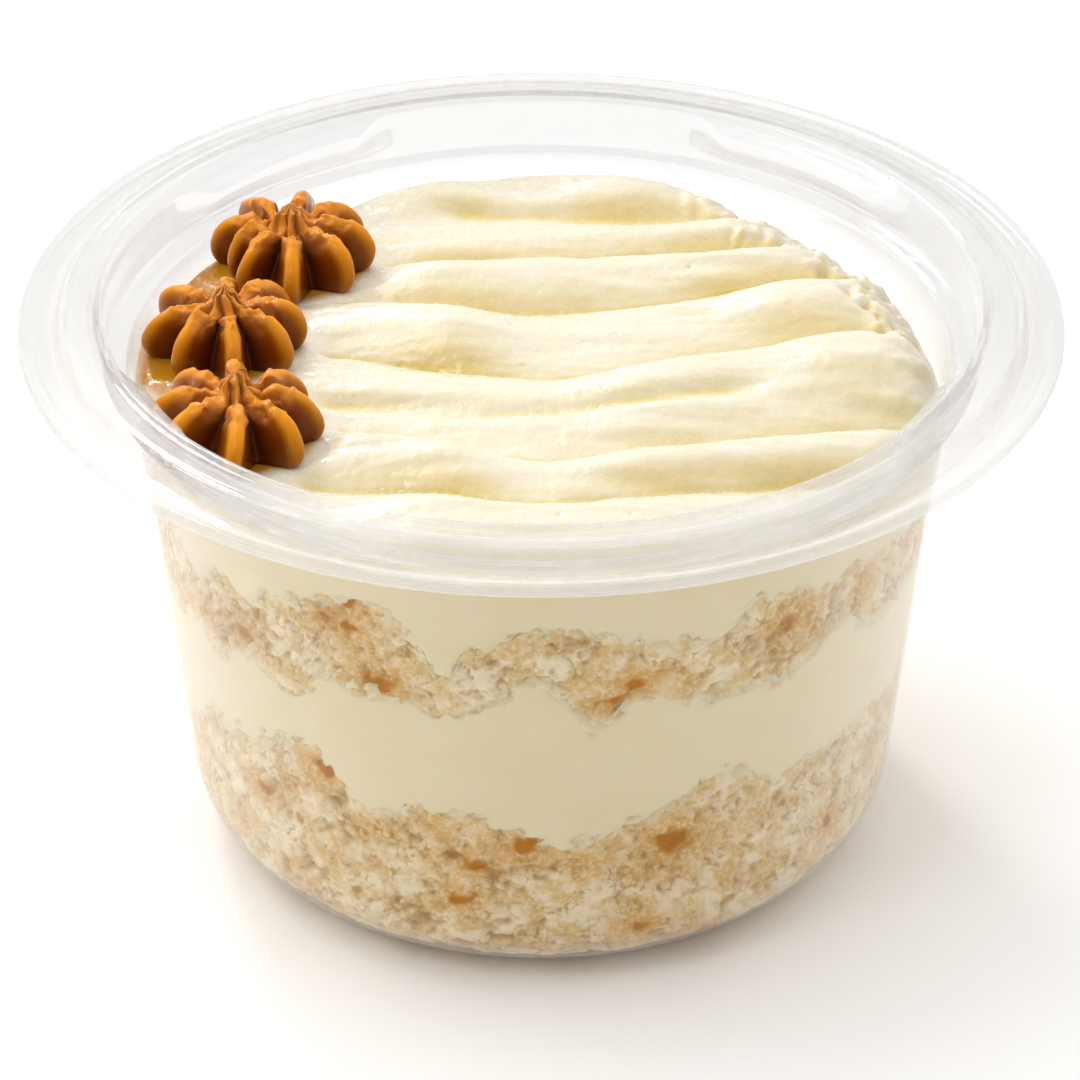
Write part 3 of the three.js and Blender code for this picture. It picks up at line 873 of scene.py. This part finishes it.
def caramel():
    tree = Tree("caramel_piped")
    # The amber is painted light on the lobes' ridges, the dark brown painted shade in their grooves
    lit_amber, middle, shade_brown = (0.74, 0.27, 0.008, 1), (0.29, 0.062, 0.0016, 1), (0.07, 0.01, 0.0008, 1)
    tan = (0.66, 0.25, 0.05, 1)
    ridge, folds = tree.value("ridge"), tree.value("folds")
    # Painted light and shade: dark in the grooves, lit amber on the ridges, lighter towards the
    # tops
    rise = tree.range(tree.value("rise"), 0.1, 0.75, 0.35, 1)
    colour = tree.mix(tree.math("MULTIPLY", tree.range(ridge, 0, 0.8), rise), shade_brown, middle)
    colour = tree.mix(tree.math("MULTIPLY", tree.range(ridge, 0.65, 1.0), rise), colour, lit_amber)
    colour = tree.mix(tree.math("MULTIPLY", folds, 0.4), colour, tan)
    wrinkle = tree.math("MULTIPLY", tree.noise(0.9, 3), tree.range(folds, 0, 1, 0.12, 1.0))
    return tree.finish(tree.node("ShaderNodeBsdfPrincipled", {
        "Base Color": colour,
        "Roughness": tree.range(folds, 0, 1, 0.07, 0.13),
        "Specular IOR Level": 0.36,
        "Specular Tint": (1.0, 0.68, 0.34, 1),
        "Subsurface Weight": 0.2,
        "Subsurface Radius": (1.0, 0.3, 0.05),
        "Subsurface Scale": 0.0016,
        "Normal": tree.bump(wrinkle, 0.3, 0.7),
    }))


def floor_paint():
    tree = Tree("studio_floor")
    tone = tree.range(tree.noise(40, 2), 0.3, 0.7, 0.0, 1.0)
    colour = tree.mix(tone, (0.91, 0.91, 0.91, 1), (0.925, 0.925, 0.925, 1))
    inputs = {"Base Color": colour, "Roughness": 0.9}
    return tree.finish(tree.node("ShaderNodeBsdfPrincipled", inputs))


# ------------------------------------------------------------------ the studio


def make_floor():
    mesh = bpy.data.meshes.new("floor")
    half, drop = 4.0, -0.0001
    corners = [(-half, -half, drop), (half, -half, drop), (half, half, drop), (-half, half, drop)]
    mesh.from_pydata(corners, [], [(0, 1, 2, 3)])
    mesh.materials.append(floor_paint())
    floor = bpy.data.objects.new("floor", mesh)
    bpy.context.scene.collection.objects.link(floor)


SOFT_BOXES = (  # name, place in metres, width in metres and power in watts
    ("key_light", (-0.48, 0.27, 0.93), 0.6, 2.4),
    ("back_light", (-0.3, 0.75, 0.75), 0.22, 2.6),
    ("front_light", (-0.4, -0.4, 0.85), 0.26, 0.8),
)
LIGHTS_AIM = (0, 0, 0.04)
SKY_RAMPS = (  # axis of the direction, its range, and the strength at each end of the range
    ("Y", -1, 0.1, 0.18, 1.12),
    ("Z", 0.4, 0.95, 0, 0.36),
    ("X", -1, -0.1, 0.88, 0),
    ("X", 0.2, 1, 0, 0.6),
)


def make_lights():
    for name, place, size, power in SOFT_BOXES:
        light = bpy.data.lights.new(name, "AREA")
        light.shape = "DISK"
        light.size = size
        light.energy = power
        lamp = bpy.data.objects.new(name, light)
        lamp.location = place
        direction = Vector(LIGHTS_AIM) - lamp.location
        lamp.rotation_euler = direction.to_track_quat("-Z", "Y").to_euler()
        bpy.context.scene.collection.objects.link(lamp)


def make_sky():
    """White surroundings whose strength goes up and down with the direction."""
    world = bpy.data.worlds.new("studio")
    bpy.context.scene.world = world
    world.use_nodes = True
    nodes, links = world.node_tree.nodes, world.node_tree.links
    nodes.clear()
    where = nodes.new("ShaderNodeTexCoord")
    split = nodes.new("ShaderNodeSeparateXYZ")
    links.new(where.outputs["Generated"], split.inputs[0])
    sky = nodes.new("ShaderNodeBackground")
    total = None
    for axis, *numbers in SKY_RAMPS:
        ramp = nodes.new("ShaderNodeMapRange")
        ramp.interpolation_type = "SMOOTHSTEP"
        links.new(split.outputs[axis], ramp.inputs["Value"])
        for socket, number in zip(ramp.inputs[1:5], numbers):
            socket.default_value = number
        if total is None:
            total = ramp.outputs[0]
            continue
        add = nodes.new("ShaderNodeMath")
        links.new(total, add.inputs[0])
        links.new(ramp.outputs[0], add.inputs[1])
        total = add.outputs[0]
    links.new(total, sky.inputs["Strength"])
    output = nodes.new("ShaderNodeOutputWorld")
    links.new(sky.outputs[0], output.inputs["Surface"])


CAMERA_DISTANCE = 500  # from the camera to the middle of the cup's mouth
CAMERA_ELEVATION = 29.144
CAMERA_PITCH = 32.362  # how far below level the camera looks
CAMERA_YAW = -0.0165
SENSOR = 36
FOCAL_PIXELS = 4464.5  # in the photograph's 1080 pixels
PHOTO_PIXELS = 1080


def make_camera():
    camera = bpy.data.cameras.new("camera")
    camera.sensor_width = SENSOR
    camera.lens = FOCAL_PIXELS / PHOTO_PIXELS * SENSOR
    camera.clip_start = 0.01
    rig = bpy.data.objects.new("camera", camera)
    tilt = math.radians(CAMERA_ELEVATION)
    reach = CAMERA_DISTANCE * MM
    rig.location = (0, -reach * math.cos(tilt), reach * math.sin(tilt) + CUP_HEIGHT * MM)
    rig.rotation_euler = (math.radians(90 - CAMERA_PITCH), 0, -math.radians(CAMERA_YAW))
    bpy.context.scene.collection.objects.link(rig)
    bpy.context.scene.camera = rig


# ------------------------------------------------------------------ assembly

bpy.context.scene.view_settings.view_transform = "Standard"
make_camera()
make_lights()
make_sky()
make_floor()

make_cup(clear_plastic())

sponge_material, cream_material, caramel_material = sponge(), cream(), caramel()
lower_edge, band_edge, upper_edge = (
    layer_edge(top) for top in (LOWER_SPONGE_TOP, CREAM_BAND_TOP, UPPER_SPONGE_TOP)
)
make_layer("sponge_lower_crumb", "sponge_lower", None, lower_edge,
           sponge_against_wall, LOWER_SPONGE_SEED, sponge_material, "sponge")
make_layer("cream_band_smooth", "cream_band", lower_edge, band_edge,
           cream_against_wall, CREAM_BAND_SEED, cream_material, "cream")
make_layer("sponge_upper_crumb", "sponge_upper", band_edge, upper_edge,
           sponge_against_wall, UPPER_SPONGE_SEED, sponge_material, "sponge")
make_cream_top(upper_edge, cream_material)
for number, (centre, radius, height, lobes) in enumerate(ROSETTES, 1):
    make_rosette(number, centre, radius, height, lobes, caramel_material)
